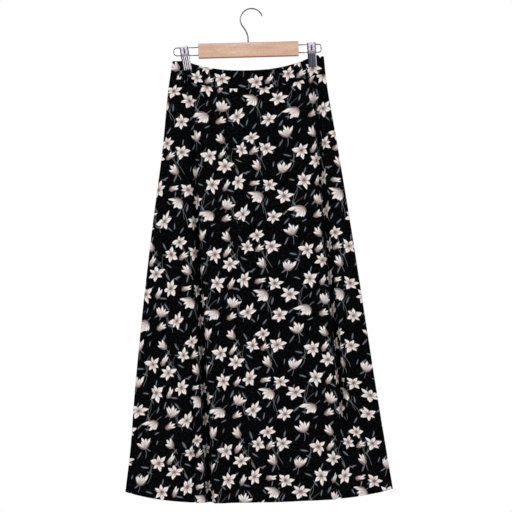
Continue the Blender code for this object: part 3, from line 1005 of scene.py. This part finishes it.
def draw_wire(name, points, radii, finish, sides=16):
    """A round wire through points, with closed and rounded ends."""
    points = [Vector(p) for p in points]
    ways = [(b - a).normalized() for a, b in zip(points, points[1:])]
    facing = [ways[0], *[(a + b).normalized() for a, b in zip(ways, ways[1:])], ways[-1]]
    bm = bmesh.new()
    turn = Vector((0, 0, 1)).rotation_difference(facing[0]).to_matrix().to_4x4()
    matrix = Matrix.Translation(points[0]) @ turn
    bmesh.ops.create_circle(bm, cap_ends=True, segments=sides, radius=radii[0], matrix=matrix)
    ring = bm.edges[:]
    for i in range(1, len(points)):
        made = bmesh.ops.extrude_edge_only(bm, edges=ring)["geom"]
        verts = [g for g in made if isinstance(g, bmesh.types.BMVert)]
        fresh = set(verts)
        ring = [
            g for g in made
            if isinstance(g, bmesh.types.BMEdge) and g.verts[0] in fresh and g.verts[1] in fresh
        ]
        bmesh.ops.translate(bm, vec=points[i] - points[i - 1], verts=verts)
        swing = facing[i - 1].rotation_difference(facing[i]).to_matrix()
        bmesh.ops.rotate(bm, cent=points[i], matrix=swing, verts=verts)
        grow = radii[i] / radii[i - 1]
        space = Matrix.Translation(-points[i])
        bmesh.ops.scale(bm, vec=(grow, grow, grow), space=space, verts=verts)
    bmesh.ops.contextual_create(bm, geom=ring)
    return new_piece(name, bm, finish)


def arc_points(x, z, radius, start, end, steps):
    angles = np.linspace(math.radians(start), math.radians(end), steps + 1)
    return [(x + radius * math.cos(a), 0.0, z + radius * math.sin(a)) for a in angles]


def bezier(a, b, c, d, steps):
    """Points of a smooth bend between two ends, in the XZ plane."""
    placed = []
    for t in np.linspace(0.0, 1.0, steps + 1):
        shares = ((1 - t) ** 3, 3 * t * (1 - t) ** 2, 3 * t * t * (1 - t), t**3)
        x, z = (sum(s * p[k] for s, p in zip(shares, (a, b, c, d))) for k in (0, 1))
        placed.append((x, 0.0, z))
    return placed


HOOK_RADIUS = 26 * MM
HOOK_WIRE = 3.1 * MM
HOOK_SHANK = 3.8 * MM
SHANK_IN_BAR = 12 * MM
hook_centre = HOOK_WIRE / 2 - HOOK_RADIUS
round_part = arc_points(0.0, hook_centre, HOOK_RADIUS, 195, 20, 56)
BEND_STEPS = 18
bend = bezier(
    (WAIST_X, -0.072), (WAIST_X, -0.049), (-0.0225, -0.0409), (round_part[0][0], round_part[0][2]), BEND_STEPS
)
tip = Vector(round_part[-1])
tip_way = (tip - Vector(round_part[-2])).normalized()
tips = [tip + tip_way * (HOOK_WIRE / 2 * s) for s in (0.5, 0.85, 1.0)]
foot = (WAIST_X, 0.0, BAR_FACE[1] - SHANK_IN_BAR)
hook_points = [foot, (WAIST_X, 0.0, -0.080), *bend, *round_part[1:], *tips]
hook_radii = [HOOK_SHANK / 2] * 2
hook_radii += [
    (HOOK_SHANK + (HOOK_WIRE - HOOK_SHANK) * i / BEND_STEPS) / 2 for i in range(BEND_STEPS + 1)
]
hook_radii += [HOOK_WIRE / 2] * (len(round_part) - 1)
hook_radii += [HOOK_WIRE / 2 * s for s in (0.87, 0.53, 0.10)]
hook = draw_wire("hook_wire", hook_points, hook_radii, wire)
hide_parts("hanger_hook")
print("hook of", len(hook.data.polygons), "faces")

# %% Arms
ARM_WIRE = 2.5 * MM


def bent_arm(name, node, side, corner):
    """A flat U of wire whose open end sits in the bar."""
    low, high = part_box(node)
    inner = low.x if side > 0 else high.x
    outer = (high.x if side > 0 else low.x) - side * ARM_WIRE / 2
    top, bottom = high.z - ARM_WIRE / 2, low.z + ARM_WIRE / 2
    corner_x = outer - side * corner
    start, middle, end = (90, 0, -90) if side > 0 else (90, 180, 270)
    points = [(inner, 0.0, top)]
    points += arc_points(corner_x, top - corner, corner, start, middle, 9)
    points += arc_points(corner_x, bottom + corner, corner, middle, end, 9)
    points += [(inner, 0.0, bottom)]
    arm = draw_wire(name, points, [ARM_WIRE / 2] * len(points), wire, 14)
    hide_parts(node)
    return arm


arms = [
    bent_arm("arm_wire_left", "arm_left", -1, 7.6 * MM),
    bent_arm("arm_wire_right", "arm_right", 1, 5.4 * MM),
]
print("arms:", [round(arm.dimensions.x, 4) for arm in arms])

# %% [markdown]
# ## Pressed clips
#
# A clip is two jaws of thin sheet, pressed in a die: the top flares out for the fingers, its
# sides fold inwards over the arm, a slot is punched down the middle of the front one, and
# upright ribs stiffen the part that holds the cloth. A flat grid is bent like the sheet was, the
# slot's faces are deleted, and Solidify gives the sheet its thickness.

# %% Jaws
CLIP_HALF = 9.5 * MM
CLIP_TOPS = {"left": 34 * MM, "right": 36 * MM}
CLIP_FOOT = -21 * MM
CLIP_SHEET = 0.8 * MM
CORNER = 1.1 * MM
FLANGE_END = 1.9 * MM
SLOT_HALF = 1.9 * MM
SLOT = (17.5 * MM, 30.5 * MM)
CLIPS = {"left": (-145.6 * MM, 7.9), "right": (147.5 * MM, 2.0)}  # middle from the waist's, lean in degrees
JAW = (
    # height, distance of the sheet from the clip's middle, how far the ribs stand out
    (36.0, 7.4, 0.0), (33.0, 6.5, 0.0), (28.0, 5.8, 0.0), (18.5, 5.2, 0.0), (13.5, 5.0, 0.0),
    (11.5, 4.9, 0.0), (9.5, 4.5, 0.9), (-5.25, 3.3, 0.9), (-17.0, 2.2, 0.9), (-21.0, 2.2, 0.5),
)


def jaw_point(u, v, facing, top):
    """Where a point of the flat sheet is after pressing, with its place across and up."""
    heights, aways, ribs = (np.array(c)[::-1] for c in zip(*JAW))
    z = CLIP_FOOT + (top - CLIP_FOOT) * v
    away = float(np.interp(z / MM, heights, aways)) * MM
    rib = float(np.interp(z / MM, heights, ribs)) * MM
    upper = min(max((z / MM - 9.5) / 3.0, 0.0), 1.0)
    flat_half = CLIP_HALF - CORNER
    flange = (away - CORNER - FLANGE_END) * upper
    turn = CORNER * math.pi / 2
    run = abs(u) * (flat_half + turn + flange)
    side = 1 if u > 0 else -1
    if run <= flat_half:
        x = run
        wave = 0.5 - 0.5 * math.cos(2 * math.pi * RIBS * run / RIB_FIELD)
        back = -rib * wave
    elif run <= flat_half + turn:
        angle = (run - flat_half) / CORNER
        x = flat_half + CORNER * math.sin(angle)
        back = CORNER * (1 - math.cos(angle)) * (0.25 + 0.75 * upper)
    else:
        x, back = CLIP_HALF, CORNER + run - flat_half - turn
    if v > 0.95:  # the top's corners are rounded off
        z -= 1.6 * MM * (x / CLIP_HALF) ** 6 * (v - 0.95) / 0.05
    return (side * x, facing * (away - back), z), (side * run, z)


def lean_clip(bm, side_name):
    """Leans a piece of a clip and moves it to where the clip grips."""
    middle, lean = CLIPS[side_name]
    bmesh.ops.rotate(bm, matrix=Matrix.Rotation(math.radians(-lean), 3, "Y"), verts=bm.verts[:])
    bmesh.ops.translate(bm, vec=(WAIST_X + middle, 0.0, WAIST_Z), verts=bm.verts[:])


def press_jaw(name, node, side_name, facing):
    across, up = 76, 70
    bm = bmesh.new()
    bmesh.ops.create_grid(bm, x_segments=across, y_segments=up, size=0.5)
    plate_map = bm.loops.layers.uv.new("plate")
    places = {}
    for vert in bm.verts:
        point, place = jaw_point(vert.co.x * 2, vert.co.y + 0.5, facing, CLIP_TOPS[side_name])
        vert.co = point
        places[vert] = place
    for face in bm.faces:
        for loop in face.loops:
            loop[plate_map].uv = places[loop.vert]
    if facing < 0:
        middles = {f: f.calc_center_median() for f in bm.faces}
        slot = [f for f, m in middles.items() if abs(m.x) < SLOT_HALF and SLOT[0] < m.z < SLOT[1]]
        bmesh.ops.delete(bm, geom=slot, context="FACES")
    lean_clip(bm, side_name)
    jaw = new_piece(name, bm, plates[side_name])
    wall = jaw.modifiers.new("sheet", "SOLIDIFY")
    wall.thickness = CLIP_SHEET
    wall.offset = 0.0
    wall.use_even_offset = True
    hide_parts(node)
    return jaw


jaws = [
    press_jaw(f"pressed_jaw_{side}_{end}", f"clip_{side}_jaw_{end}", side, facing)
    for side in ("left", "right")
    for end, facing in (("front", -1), ("back", 1))
]
print("jaws of", [len(j.data.polygons) for j in jaws], "faces")

# %% [markdown]
# The pin that the jaws rock on is riveted over at both ends. Each head is a small ball, cut
# off flat and pressed down.

# %% Rivet heads
PIN_HEIGHT = 22.4 * MM
for side_name in CLIPS:
    bm = bmesh.new()
    for side in (-1, 1):
        head = bmesh.ops.create_uvsphere(bm, u_segments=20, v_segments=12, radius=2.1 * MM)["verts"]
        bmesh.ops.scale(bm, vec=(0.42, 1.0, 1.0), verts=head)
        bmesh.ops.translate(bm, vec=(side * (CLIP_HALF + 0.3 * MM), 0.0, PIN_HEIGHT), verts=head)
    lean_clip(bm, side_name)
    heads = new_piece(f"rivet_heads_{side_name}", bm, steel)
    print(heads.name, [round(v, 4) for v in heads.dimensions])

# %% [markdown]
# ## The floor
#
# A round pale floor lies well below the hem. It glows a little, and more towards its edge, so
# that it fades into the white behind it.

# %% Floor
FLOOR_Z = -1.62
FLOOR_RADIUS = 1.9
FLOOR_GLOW = ((0.12, 0.12, 0.12, 1.0), (0.45, 0.45, 0.45, 1.0))

bm = bmesh.new()
bmesh.ops.create_circle(bm, cap_ends=True, segments=96, radius=FLOOR_RADIUS)
bmesh.ops.translate(bm, vec=(0.0, 0.0, FLOOR_Z), verts=bm.verts[:])
floor = to_object("floor", bm)
floor_shader = Shader("floor")
spot = floor_shader.node("ShaderNodeTexCoord").output("Object").vector("LENGTH", output=1)
glow = floor_shader.mix(spot.step(1.65, 2.45), *FLOOR_GLOW)
floor.data.materials.append(
    floor_shader.finish(
        Base_Color=(0.86, 0.86, 0.85, 1.0), Roughness=0.9, Emission_Color=glow, Emission_Strength=1.0
    )
)
print("floor at", FLOOR_Z)

# %% [markdown]
# ## The cloth pieces
#
# Each piece of cloth is attached to the root, the CAD solid it stands for is hidden, and the size it was cut
# to is printed.

# %% Cloth pieces
PANEL_HEIGHT = round(SKIRT_LENGTH - BAND_HEIGHT, 3)
CLOTH_PIECES = (
    # piece, the CAD solid, what it hangs from, lengths, area, height
    (front_panel, "skirt_front", "waistband_front", front_lengths, front_area, PANEL_HEIGHT),
    (back_panel, "skirt_back", "waistband_back", back_lengths, back_area, PANEL_HEIGHT),
    (front_band, "waistband_front", "clip_left_jaw_front", front_band_lengths, front_band_area, BAND_HEIGHT),
    (back_band, "waistband_back", "clip_left_jaw_back", back_band_lengths, back_band_area, BAND_HEIGHT),
)
for piece, solid, above, lengths, area, height in CLOTH_PIECES:
    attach(piece, "root")
    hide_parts(solid)
    flat = (max(lengths), height)
    min(area, flat[0] * flat[1])
    print(piece.name, "cut", [round(v, 3) for v in flat])
